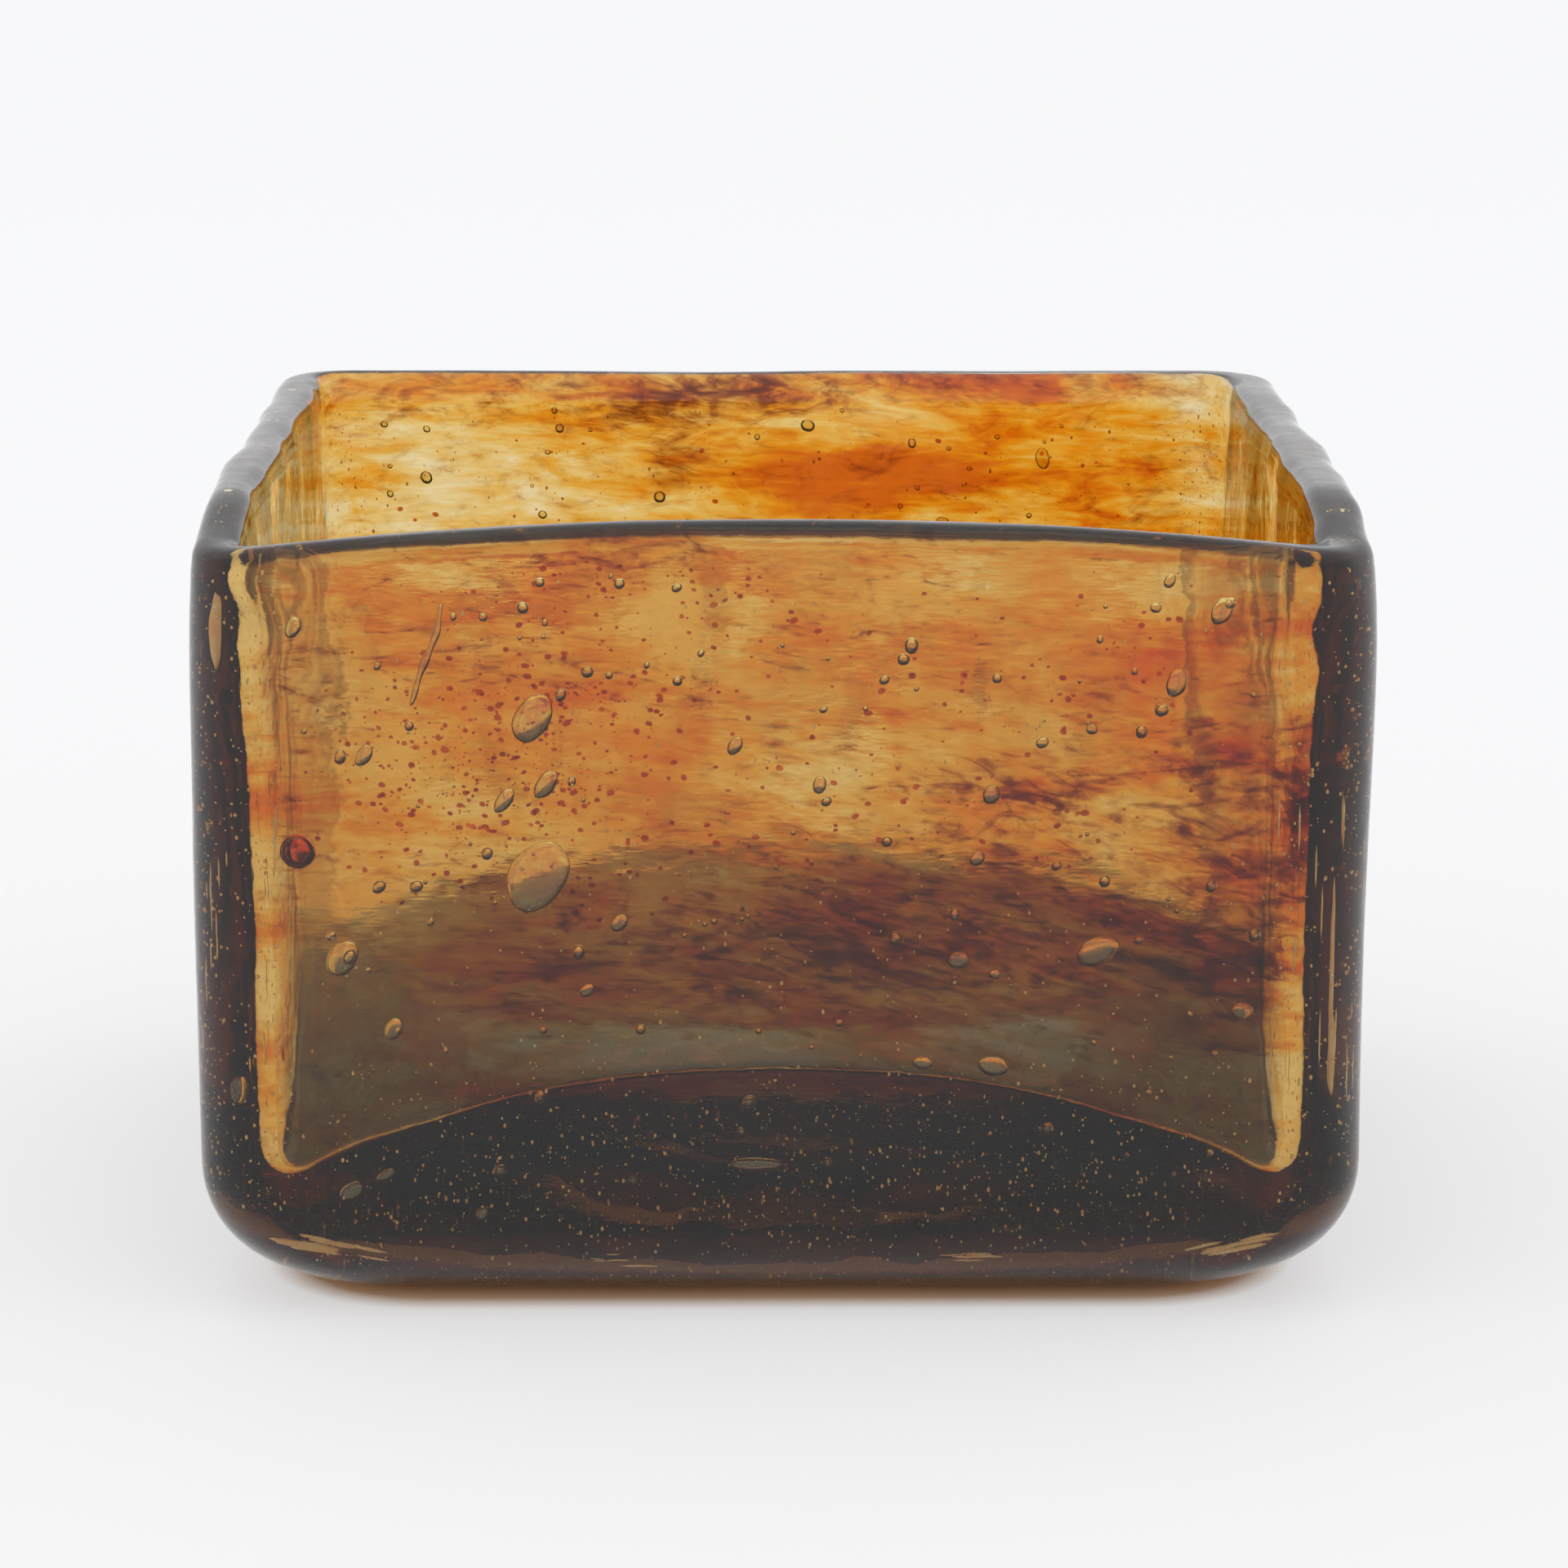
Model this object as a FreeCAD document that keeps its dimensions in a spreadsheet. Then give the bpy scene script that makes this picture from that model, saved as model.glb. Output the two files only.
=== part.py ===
"""Square art glass bowl: a thick-walled, mould-blown vessel of cased glass.

The bowl is three gathers of glass fused over one another, with what is trapped between them:
the inner gather that lines the well, a thin layer of melted-in colour, and the heavy outer casing,
which alone forms the lip. Air bubbles, grains of undissolved colour, one red bead and the wad of
glass that the pontil iron left under the base are solids of their own, and the casing has a cavity
where each of them sits.

Frame: millimetres, +Z up, origin at the centre of the footprint on the plane that the bowl
stands on. +X runs along the width and +Y towards the back.
"""
import FreeCAD, Part
import math
import os
import random

import Sketcher
from Sketcher import Constraint

Vector = FreeCAD.Vector
doc = FreeCAD.newDocument("square_glass_bowl")

# ---------------------------------------------------------------- driving dimensions
DIMENSIONS = [
    ("half_width", 70.0, "half the side of the square footprint at its widest"),
    ("tall", 97.0, "height of the lip above the table"),
    ("corner", 11.0, "outer radius of the upright corners"),
    ("foot_round", 18.0, "radius of the curve from the sides to the resting face"),
    ("lip_inset", 1.0, "how far the lip lies inside the widest outline"),
    ("lip_wall", 5.4, "wall thickness at the lip"),
    ("side_wall", 8.0, "wall thickness from half height down"),
    ("well_corner", 5.0, "radius of the upright corners of the well"),
    ("well_base", -12.0, "level that the well's walls are drawn down to before the dome is taken out"),
    ("well_foot", 14.0, "radius that ends those walls, below the dome"),
    ("crest", 33.2, "height of the middle of the well's domed floor"),
    ("crown_radius", 1200.0, "radius of the nearly level middle of the dome"),
    ("crown_reach", 44.0, "how far out from the axis that middle goes"),
    ("shoulder_radius", 58.0, "radius of the dome's fall into the corners"),
    ("dome_reach", 93.0, "how far out the dome is drawn, past the corners of the well"),
    ("lining", 1.6, "thickness of the inner gather"),
    ("colour", 0.8, "thickness of the colour layer"),
    ("lip_depth", 2.6, "how far below the lip the two inner layers end"),
    ("lip_round", 2.4, "rounding of both edges of the lip"),
    ("kick_rise", 7.0, "depth of the hollow pushed up into the underside"),
    ("kick_reach", 44.0, "radius of that hollow at the resting face"),
    ("wad_radius", 13.0, "radius of the pontil wad"),
    ("wad_level", 4.2, "height of the wad's ground and polished face"),
    ("bubble_growth", 1.0, "scale of the large bubbles listed below"),
    ("seed_radius", 1.0, "radius of the largest of the small bubbles"),
    ("grain_radius", 0.42, "radius of the largest colour grain"),
    ("bead_radius", 2.1, "radius of the red bead"),
    ("straw_radius", 0.45, "radius of the long thin bubble"),
]
sizes = doc.addObject("Spreadsheet::Sheet", "Sizes")
for row, (alias, value, meaning) in enumerate(DIMENSIONS, start=1):
    sizes.set(f"A{row}", alias)
    sizes.set(f"B{row}", str(value))
    sizes.set(f"C{row}", meaning)
    sizes.setAlias(f"B{row}", alias)
doc.recompute()


def size(alias):
    """One driving dimension as a number."""
    return float(sizes.get(alias))


# ---------------------------------------------------------------- sketch and body helpers
HORIZONTAL_AXIS, VERTICAL_AXIS = -1, -2
START, END, CENTRE = 1, 2, 3


def sketch_on(body, name, role):
    """A new sketch on one of a body's own origin planes."""
    sketch = body.newObject("Sketcher::SketchObject", name)
    plane = next(f for f in body.Origin.OriginFeatures if f.Role == role)
    sketch.AttachmentSupport = (plane, [""])
    sketch.MapMode = "FlatFace"
    return sketch


def bind(sketch, kind, *where_and_value, to):
    """A dimension of a sketch that follows an expression of the sheet."""
    index = sketch.addConstraint(Constraint(kind, *where_and_value))
    sketch.setExpression(f"Constraints[{index}]", to)


def line(start, end):
    """A straight edge of a sketch."""
    return Part.LineSegment(Vector(*start, 0), Vector(*end, 0))


def arc(centre, radius, start, end):
    """A round edge of a sketch, drawn anticlockwise between two angles in radians."""
    return Part.ArcOfCircle(Part.Circle(Vector(*centre, 0), Vector(0, 0, 1), radius), start, end)


def boolean(kind, label, base, tool):
    """A Part::Cut or Part::Common of two objects."""
    feature = doc.addObject(kind, label)
    feature.Base = base
    feature.Tool = tool
    return feature


# ---------------------------------------------------------------- square forms
def silhouette(sketch, base, half, foot, bend, lip, top):
    """A square form seen from one side, its dimensions given as expressions.

    It stands on the level base, curves out over the radius foot to upright walls at half, which
    from the height bend lean in one arc to lip, at the height top.
    """
    base_at, half_at, foot_at, bend_at, lip_at, top_at = (
        float(sketch.evalExpression(e)) for e in (base, half, foot, bend, lip, top)
    )
    rise, lean = top_at - bend_at, half_at - lip_at
    radius = (rise ** 2 + lean ** 2) / (2 * abs(lean))
    turn = math.asin(rise / radius)
    inwards = 1 if lean > 0 else -1
    quarter = math.pi / 2
    centre = half_at - inwards * radius
    right = (0, turn) if inwards > 0 else (math.pi - turn, math.pi)
    left = (math.pi - turn, math.pi) if inwards > 0 else (0, turn)
    flat, level = half_at - foot_at, base_at + foot_at
    edges = [
        line((-flat, base_at), (flat, base_at)),
        arc((flat, level), foot_at, -quarter, 0),
        line((half_at, level), (half_at, bend_at)),
        arc((centre, bend_at), radius, *right),
        line((lip_at, top_at), (-lip_at, top_at)),
        arc((-centre, bend_at), radius, *left),
        line((-half_at, bend_at), (-half_at, level)),
        arc((-flat, level), foot_at, math.pi, 3 * quarter),
    ]
    floor, right_foot, right_wall, right_lip, rim, left_lip, left_wall, left_foot = range(8)
    sketch.addGeometry(edges, False)
    right_low, right_high = (START, END) if inwards > 0 else (END, START)
    left_high, left_low = (START, END) if inwards > 0 else (END, START)
    for joint in (
        ("Tangent", floor, END, right_foot, START),
        ("Tangent", right_foot, END, right_wall, START),
        ("Tangent", right_wall, END, right_lip, right_low),
        ("Coincident", right_lip, right_high, rim, START),
        ("Coincident", rim, END, left_lip, left_high),
        ("Tangent", left_lip, left_low, left_wall, START),
        ("Tangent", left_wall, END, left_foot, START),
        ("Tangent", left_foot, END, floor, START),
        ("Symmetric", floor, START, floor, END, VERTICAL_AXIS),
        ("Symmetric", rim, START, rim, END, VERTICAL_AXIS),
        ("Vertical", right_wall),
        ("Vertical", left_wall),
        ("Equal", right_foot, left_foot),
        ("Equal", right_wall, left_wall),
    ):
        sketch.addConstraint(Constraint(*joint))
    bind(sketch, "DistanceY", HORIZONTAL_AXIS, START, floor, START, base_at, to=base)
    bind(sketch, "DistanceX", HORIZONTAL_AXIS, START, right_wall, START, half_at, to=half)
    bind(sketch, "Radius", right_foot, foot_at, to=foot)
    bind(sketch, "DistanceY", HORIZONTAL_AXIS, START, right_wall, END, bend_at, to=bend)
    bind(sketch, "DistanceX", HORIZONTAL_AXIS, START, rim, START, lip_at, to=lip)
    bind(sketch, "DistanceY", HORIZONTAL_AXIS, START, rim, START, top_at, to=top)


def corner_edges(shape):
    """The numbers of the edges that run up the four mitred corners."""
    def on_diagonal(vertex):
        return abs(abs(vertex.X) - abs(vertex.Y)) < 0.01
    return [
        i for i, edge in enumerate(shape.Edges, start=1)
        if all(on_diagonal(v) for v in edge.Vertexes) and edge.BoundBox.ZLength > 1
    ]


def squared(label, corner, **outline):
    """A square form: its silhouette extruded both ways across, the corners rounded by a radius."""
    sides = []
    for name, role in (("across", "XZ_Plane"), ("along", "YZ_Plane")):
        body = doc.addObject("PartDesign::Body", f"{label}_{name}")
        sketch = sketch_on(body, f"{label}_{name}_silhouette", role)
        silhouette(sketch, **outline)
        pad = body.newObject("PartDesign::Pad", f"{label}_{name}_pad")
        pad.Profile = sketch
        pad.Midplane = True
        pad.setExpression("Length", "Sizes.half_width * 3")
        sides.append(body)
    mitred = boolean("Part::Common", f"{label}_mitred", *sides)
    doc.recompute()
    rounded = doc.addObject("Part::Fillet", label)
    rounded.Base = mitred
    rounded.Edges = [(i, corner, corner) for i in corner_edges(mitred.Shape)]
    return rounded


def revolved(label, draw):
    """A body turned about Z from an upright profile that draw(sketch) adds."""
    body = doc.addObject("PartDesign::Body", label)
    sketch = sketch_on(body, f"{label}_profile", "XZ_Plane")
    draw(sketch)
    turn = body.newObject("PartDesign::Revolution", f"{label}_turn")
    turn.Profile = sketch
    turn.ReferenceAxis = (sketch, ["V_Axis"])
    turn.Angle = 360
    return body


blank = squared(
    "blank", size("corner"), base="0", half="Sizes.half_width", foot="Sizes.foot_round",
    bend="Sizes.tall / 2", lip="Sizes.half_width - Sizes.lip_inset", top="Sizes.tall",
)


# ---------------------------------------------------------------- the well and its layers
def dome(grown):
    """A draw function for the domed floor of one layer, lowered by the expression grown."""
    def draw(sketch):
        top = f"Sizes.crest - ({grown})"
        crown_radius, reach = size("crown_radius"), size("crown_reach")
        shoulder_radius, outer = size("shoulder_radius"), size("dome_reach")
        crest = float(sketch.evalExpression(top))
        tilt = math.asin(reach / crown_radius)
        start = Vector(reach, crest - crown_radius * (1 - math.cos(tilt)), 0)
        middle = (
            start.x - shoulder_radius * math.sin(tilt), start.y - shoulder_radius * math.cos(tilt)
        )
        steep = math.asin((outer - middle[0]) / shoulder_radius)
        end = (outer, middle[1] + shoulder_radius * math.cos(steep))
        below = -30.0
        upright = math.pi / 2
        sketch.addGeometry([
            arc((0, crest - crown_radius), crown_radius, upright - tilt, upright),
            arc(middle, shoulder_radius, upright - steep, upright - tilt),
            line(end, (outer, below)),
            line((outer, below), (0, below)),
            line((0, below), (0, crest)),
        ], False)
        crown, shoulder, side, bottom, axis = range(5)
        for joint in (
            ("Tangent", crown, START, shoulder, END),
            ("Coincident", shoulder, START, side, START),
            ("Coincident", side, END, bottom, START),
            ("Coincident", bottom, END, axis, START),
            ("Coincident", axis, END, crown, END),
            ("PointOnObject", crown, CENTRE, VERTICAL_AXIS),
            ("PointOnObject", axis, START, VERTICAL_AXIS),
            ("Vertical", axis),
            ("Vertical", side),
            ("Horizontal", bottom),
            ("DistanceY", HORIZONTAL_AXIS, START, bottom, END, below),
        ):
            sketch.addConstraint(Constraint(*joint))
        bind(sketch, "DistanceY", HORIZONTAL_AXIS, START, axis, END, crest, to=top)
        bind(sketch, "Radius", crown, crown_radius, to="Sizes.crown_radius")
        bind(sketch, "DistanceX", HORIZONTAL_AXIS, START, crown, START, reach, to="Sizes.crown_reach")
        bind(sketch, "Radius", shoulder, shoulder_radius, to="Sizes.shoulder_radius")
        bind(sketch, "DistanceX", HORIZONTAL_AXIS, START, side, START, outer, to="Sizes.dome_reach")
    return draw


def well(label, grown, top):
    """The space inside one layer, grown by an expression: upright walls less the dome."""
    walls = squared(
        f"{label}_walls",
        size("well_corner") + float(sizes.evalExpression(grown)),
        base="Sizes.well_base",
        half=f"Sizes.half_width - Sizes.side_wall + {grown}",
        foot="Sizes.well_foot",
        bend="Sizes.tall * 0.45",
        lip=f"Sizes.half_width - Sizes.lip_inset - Sizes.lip_wall + {grown}",
        top=top,
    )
    return boolean("Part::Cut", label, walls, revolved(f"{label}_dome", dome(grown)))


LAYERS_END = "Sizes.tall - Sizes.lip_depth"
air_well = well("air_well", "0", "Sizes.tall")
lining_well = well("lining_well", "Sizes.lining", LAYERS_END)
colour_well = well("colour_well", "Sizes.lining + Sizes.colour", LAYERS_END)

inner_gather = boolean("Part::Cut", "inner_gather", lining_well, air_well)
colour_layer = boolean("Part::Cut", "colour_layer", colour_well, lining_well)


# ---------------------------------------------------------------- the underside
def kick_profile(sketch):
    """Half of a shallow cap, whose edge meets the resting face."""
    rise, reach, below = size("kick_rise"), size("kick_reach"), -1.0
    radius = (reach ** 2 + rise ** 2) / (2 * rise)
    spread = math.asin(reach / radius)
    sketch.addGeometry([
        arc((0, rise - radius), radius, math.pi / 2 - spread, math.pi / 2),
        line((reach, 0), (reach, below)),
        line((reach, below), (0, below)),
        line((0, below), (0, rise)),
    ], False)
    cap, side, bottom, axis = range(4)
    for joint in (
        ("Coincident", cap, START, side, START),
        ("Coincident", side, END, bottom, START),
        ("Coincident", bottom, END, axis, START),
        ("Coincident", axis, END, cap, END),
        ("PointOnObject", cap, CENTRE, VERTICAL_AXIS),
        ("PointOnObject", cap, START, HORIZONTAL_AXIS),
        ("PointOnObject", axis, START, VERTICAL_AXIS),
        ("Vertical", axis),
        ("Vertical", side),
        ("Horizontal", bottom),
        ("DistanceY", HORIZONTAL_AXIS, START, bottom, END, below),
    ):
        sketch.addConstraint(Constraint(*joint))
    bind(sketch, "DistanceY", HORIZONTAL_AXIS, START, axis, END, rise, to="Sizes.kick_rise")
    bind(sketch, "DistanceX", HORIZONTAL_AXIS, START, cap, START, reach, to="Sizes.kick_reach")


kick = revolved("kick", kick_profile)
wad_blank = doc.addObject("Part::Cylinder", "wad_blank")
wad_blank.setExpression("Radius", "Sizes.wad_radius")
wad_blank.setExpression("Height", "Sizes.kick_rise + 1 - Sizes.wad_level")
wad_blank.setExpression(".Placement.Base.z", "Sizes.wad_level")
pontil_wad = boolean("Part::Common", "pontil_wad", wad_blank, kick)

# ---------------------------------------------------------------- what is trapped in the casing
WALL_MIDDLE = size("half_width") - (size("side_wall") - size("lining") - size("colour")) / 2
FRONT, RIGHT, BACK, LEFT = 0, 90, 180, 270

# Large bubbles, drawn out and flattened as the walls were blown. For each wall, by its angle about
# Z: place along the wall, height, half length, half width, and how far the long way leans.
LARGE_BUBBLES = {
    FRONT: [
        (-28.7, 54.7, 4.6, 3.3, 55), (-29.1, 73.7, 3.1, 2.1, 60), (-27.6, 65.8, 1.9, 1.1, 55),
        (-32.5, 63.9, 1.7, 0.9, 55), (-56.9, 84.5, 1.3, 0.9, 65), (-51.8, 44.9, 2.4, 1.7, 60),
        (-48.9, 69.3, 1.4, 0.9, 55), (-45.9, 36.2, 1.4, 1.0, 65), (-19.1, 49.1, 1.2, 0.9, 50),
        (-5.4, 70.4, 1.2, 0.8, 60), (16.8, 31.9, 1.2, 0.8, -5), (25.2, 31.5, 1.8, 1.2, -10),
        (24.7, 64.5, 1.2, 1.0, 70), (37.5, 45.6, 2.7, 1.7, 25), (46.3, 77.8, 1.7, 1.2, 70),
        (51.5, 86.3, 1.7, 1.2, 60), (54.6, 38.2, 1.3, 1.1, 0),
    ],
    RIGHT: [(-30.0, 64.0, 2.6, 1.7, 50), (12.0, 40.0, 3.1, 2.2, 60), (38.0, 72.0, 1.6, 1.1, 40)],
    BACK: [
        (-38.0, 84.0, 1.5, 1.0, 80), (-24.0, 74.0, 1.7, 1.2, 75), (8.0, 57.0, 2.8, 1.9, 50),
        (40.0, 36.0, 3.2, 2.0, 40),
    ],
    LEFT: [(-42.0, 50.0, 2.4, 1.6, 60), (2.0, 78.0, 1.5, 1.1, 30), (34.0, 32.0, 3.4, 2.3, 50)],
}
FLATNESS = 0.4
STRAW_ENDS = (Vector(-43.2, 0, 75.5), Vector(-39.4, 0, 87.0))
BEAD = Vector(-56.8, 0, 57.8)
SPACING = 3.0


def on_wall(facing, along, depth, height, lean=0):
    """The placement of something in the wall that faces this angle about Z (0 is the front)."""
    within = FreeCAD.Placement(
        Vector(along, -depth, height), FreeCAD.Rotation(Vector(0, 1, 0), -lean)
    )
    turn = FreeCAD.Placement(Vector(), FreeCAD.Rotation(Vector(0, 0, 1), facing))
    return turn.multiply(within)


def gathered(label, members):
    """Separate solids as one sub-part."""
    compound = doc.addObject("Part::Compound", label)
    compound.Links = members
    return compound


def large_bubbles():
    """Every large bubble as an ellipsoid flattened against the wall that holds it."""
    members = []
    for facing, bubbles in LARGE_BUBBLES.items():
        for along, height, half_long, half_wide, lean in bubbles:
            bubble = doc.addObject("Part::Ellipsoid", f"large_bubble_{len(members) + 1}")
            bubble.setExpression("Radius1", f"Sizes.bubble_growth * {half_wide}")
            bubble.setExpression("Radius2", f"Sizes.bubble_growth * {half_long}")
            bubble.setExpression("Radius3", f"Sizes.bubble_growth * {FLATNESS * half_wide}")
            bubble.Placement = on_wall(facing, along, WALL_MIDDLE, height, lean)
            members.append(bubble)
    return gathered("large_bubbles", members)


def larger_places():
    """The walls' places that the bead, the straw and the large bubbles fill."""
    straw_middle = (STRAW_ENDS[0] + STRAW_ENDS[1]) / 2
    places = [(FRONT, p.x, p.z) for p in (*STRAW_ENDS, straw_middle, BEAD)]
    for facing, bubbles in LARGE_BUBBLES.items():
        for along, height, *_ in bubbles:
            places += [
                (facing, along + x, height + z)
                for x in (-SPACING, 0, SPACING)
                for z in (-SPACING, 0, SPACING)
            ]
    return places


def scattered(label, count, largest, smallest_share, seed, depth, heights, reach, taken):
    """Small round inclusions over the four walls, each kept clear of the places already taken."""
    chance = random.Random(seed)
    members = []
    while len(members) < count:
        facing = 90 * (len(members) % 4)
        along, height = chance.uniform(-reach, reach), chance.uniform(*heights)
        share = smallest_share + (1 - smallest_share) * chance.random() ** 2
        if all(math.hypot(along - x, height - z) > SPACING for f, x, z in taken if f == facing):
            taken.append((facing, along, height))
            ball = doc.addObject("Part::Sphere", f"{label}_{len(members) + 1}")
            ball.setExpression("Radius", f"Sizes.{largest} * {round(share, 3)}")
            ball.Placement = on_wall(facing, along, depth, height)
            members.append(ball)
    return gathered(label, members)


def straw():
    """One long thin bubble, drawn out like a straw inside the front wall."""
    start, end = (Vector(p.x, -WALL_MIDDLE, p.z) for p in STRAW_ENDS)
    tube = doc.addObject("Part::Cylinder", "straw_tube")
    tube.setExpression("Radius", "Sizes.straw_radius")
    tube.Height = (end - start).Length
    tube.Placement = FreeCAD.Placement(start, FreeCAD.Rotation(Vector(0, 0, 1), end - start))
    caps = []
    for place in (start, end):
        cap = doc.addObject("Part::Sphere", f"straw_cap_{len(caps) + 1}")
        cap.setExpression("Radius", "Sizes.straw_radius")
        cap.Placement.Base = place
        caps.append(cap)
    blister = doc.addObject("Part::MultiFuse", "straw_blister")
    blister.Shapes = [tube, *caps]
    return blister


taken = larger_places()
bubbles = large_bubbles()
small_bubbles = scattered(
    "small_bubbles", 48, "seed_radius", 0.35, seed=11, depth=WALL_MIDDLE, heights=(22, 84),
    reach=54, taken=taken,
)
colour_grains = scattered(
    "colour_grains", 40, "grain_radius", 0.5, seed=23, depth=WALL_MIDDLE - 1.0, heights=(44, 78),
    reach=50, taken=taken,
)
red_bead = doc.addObject("Part::Sphere", "red_bead")
red_bead.setExpression("Radius", "Sizes.bead_radius")
red_bead.Placement = on_wall(FRONT, BEAD.x, WALL_MIDDLE, BEAD.z)
straw_blister = straw()
inclusions = [bubbles, small_bubbles, colour_grains, red_bead, straw_blister]

# ---------------------------------------------------------------- the casing
dished = boolean("Part::Cut", "dished", blank, kick)
bored = boolean("Part::Cut", "bored", dished, air_well)
sleeved = boolean("Part::Cut", "sleeved", bored, colour_well)
doc.recompute()



def lip_rounded(label, base, reach):
    """The lip's edges that lie this far out from the middle, rounded over."""
    def chosen(box):
        furthest = max(box.XMax, box.YMax, -box.XMin, -box.YMin)
        return box.ZMin > size("tall") - 0.01 and abs(furthest - reach) < 0.1
    edges = [i for i, e in enumerate(base.Shape.Edges, start=1) if chosen(e.BoundBox)]
    fillet = doc.addObject("Part::Fillet", label)
    fillet.Base = base
    fillet.Edges = [(i, size("lip_round"), size("lip_round")) for i in edges]
    doc.recompute()
    return fillet


lip_reach = size("half_width") - size("lip_inset")
softened = lip_rounded("softened", sleeved, lip_reach)
rounded = lip_rounded("rounded", softened, lip_reach - size("lip_wall"))

trapped = gathered("trapped", inclusions)
outer_casing = boolean("Part::Cut", "outer_casing", rounded, trapped)
doc.recompute()

# ---------------------------------------------------------------- checks and export
NODES = [outer_casing, colour_layer, inner_gather, pontil_wad, *inclusions]

failed = [o.Label for o in doc.Objects if {"Invalid", "Error"} & set(o.State)]
assert not failed, f"failed objects: {failed}"
held = sum(node.Shape.Volume for node in inclusions)
removed = rounded.Shape.Volume - outer_casing.Shape.Volume
assert abs(held - removed) < 0.001 * held, "an inclusion reaches out of the casing"
os.makedirs("parts", exist_ok=True)
for node in NODES:
    shape = node.Shape
    assert not shape.isNull() and shape.isValid(), f"{node.Label} is not a valid shape"
    assert shape.Solids and all(s.Volume > 0 for s in shape.Solids), f"{node.Label} holds no solid"
    box = shape.optimalBoundingBox(True, False)
    print(
        f"{node.Label:14s} {len(shape.Solids):3d} solids {shape.Volume / 1000:8.2f} cm3 "
        f"{box.XLength:6.1f} x {box.YLength:6.1f}  z {box.ZMin:.2f} to {box.ZMax:.2f}"
    )
    shape.exportStep(f"parts/{node.Label}.step")
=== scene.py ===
"""Square art glass bowl: the looks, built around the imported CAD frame.

The glass itself is one closed body of smoky glass, wavy as blown glass is. Inside it lie the pieces
that give it its colour and sparkle: a lining, a shell of melted-in colour, bubbles, fine seeds,
colour grains, a red bead and a long thin bubble. Sizes in this file are millimetres until a mesh is
made, and each object is in metres in the CAD frame.
"""

import math
import random

import bpy
import numpy as np
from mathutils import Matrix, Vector, noise


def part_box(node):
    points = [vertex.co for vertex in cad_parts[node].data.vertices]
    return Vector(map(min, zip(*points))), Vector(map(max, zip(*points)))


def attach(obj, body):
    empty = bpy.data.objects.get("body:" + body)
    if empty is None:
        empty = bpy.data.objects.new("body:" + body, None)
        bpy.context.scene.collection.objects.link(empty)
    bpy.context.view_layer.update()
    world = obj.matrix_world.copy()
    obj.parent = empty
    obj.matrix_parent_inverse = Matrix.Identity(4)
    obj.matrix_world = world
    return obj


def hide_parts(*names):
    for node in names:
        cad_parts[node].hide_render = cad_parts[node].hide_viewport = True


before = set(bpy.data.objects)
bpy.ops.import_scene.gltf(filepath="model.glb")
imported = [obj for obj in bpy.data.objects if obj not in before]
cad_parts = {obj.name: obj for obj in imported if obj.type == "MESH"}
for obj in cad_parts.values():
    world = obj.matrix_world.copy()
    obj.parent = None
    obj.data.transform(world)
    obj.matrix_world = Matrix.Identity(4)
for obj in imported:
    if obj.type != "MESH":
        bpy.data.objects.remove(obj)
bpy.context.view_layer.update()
MM = 0.001


def box_mm(node):
    """A CAD node's lowest and highest corners in millimetres."""
    low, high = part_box(node)
    return np.array(low) / MM, np.array(high) / MM


# ---------------------------------------------------------------- the form, from the CAD
_, casing_high = box_mm("outer_casing")
_, lining_high = box_mm("inner_gather")
_, colour_high = box_mm("colour_layer")
HALF = casing_high[0]
TOP = casing_high[2]
COLOUR_OUT = colour_high[0] - lining_high[0]
LIP_WALL, SIDE_WALL, LINING = 5.4, 8.0, 1.6
LIP_INSET, FOOT_ROUND, CORNER, WELL_CORNER = 1.0, 18.0, 11.0, 5.0
FOOT_CORNER = 14.0
KICK_RISE, KICK_REACH = 7.0, 44.0
CREST, CROWN_RADIUS, CROWN_REACH, SHOULDER_RADIUS = 33.2, 1200.0, 44.0, 58.0
AROUND = 448
CROWDING = 0.65
LIP_RADIUS = LIP_WALL / 2
LIP_MIDDLE = HALF - LIP_INSET - LIP_RADIUS
LIP_SQUARENESS = 0.8
RIGHT_FULLER, LEFT_FULLER = 1.15, 0.45
LAYERS_AT_LIP = 0.34
COLOUR_THICK = 0.45

even = np.linspace(0, 2 * math.pi, AROUND, endpoint=False)
TURN = even + CROWDING / 4 * np.sin(4 * even)
RAY = np.stack([np.cos(TURN), np.sin(TURN)], axis=1)


def ring(half, corner):
    """Points round a square of this half size with rounded corners, one for each ray."""
    corner = min(corner, half)
    near, far = np.sort(np.abs(RAY), axis=1).T
    side = half / far
    on_side = near * side <= half - corner
    along = (near + far) * (half - corner)
    inside = np.maximum(along ** 2 - 2 * (half - corner) ** 2 + corner ** 2, 0)
    reach = np.where(on_side, side, along + np.sqrt(inside))
    return RAY * reach[:, None]


def dome(distance, lowered=0.0):
    """Height of the domed floor at these distances from the axis."""
    tilt = math.asin(CROWN_REACH / CROWN_RADIUS)
    level = np.minimum(distance, CROWN_REACH)
    crown = CREST - CROWN_RADIUS + np.sqrt(CROWN_RADIUS ** 2 - level ** 2)
    edge = CREST - CROWN_RADIUS * (1 - math.cos(tilt))
    middle_r = CROWN_REACH - SHOULDER_RADIUS * math.sin(tilt)
    middle_z = edge - SHOULDER_RADIUS * math.cos(tilt)
    fall = np.clip(distance - middle_r, 0, SHOULDER_RADIUS * 0.97)
    shoulder = middle_z + np.sqrt(SHOULDER_RADIUS ** 2 - fall ** 2)
    return np.where(distance < CROWN_REACH, crown, shoulder) - lowered


def ripple(points, size, seed, stretch=(1, 1, 1)):
    """Smooth noise from -1 to 1 at each point, with features about this size in millimetres."""
    shift = Vector((seed * 17.3, seed * -9.1, seed * 5.7))
    scaled = points * (np.array(stretch) / size)
    return np.array([noise.noise(Vector(p) + shift) for p in scaled])


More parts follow.
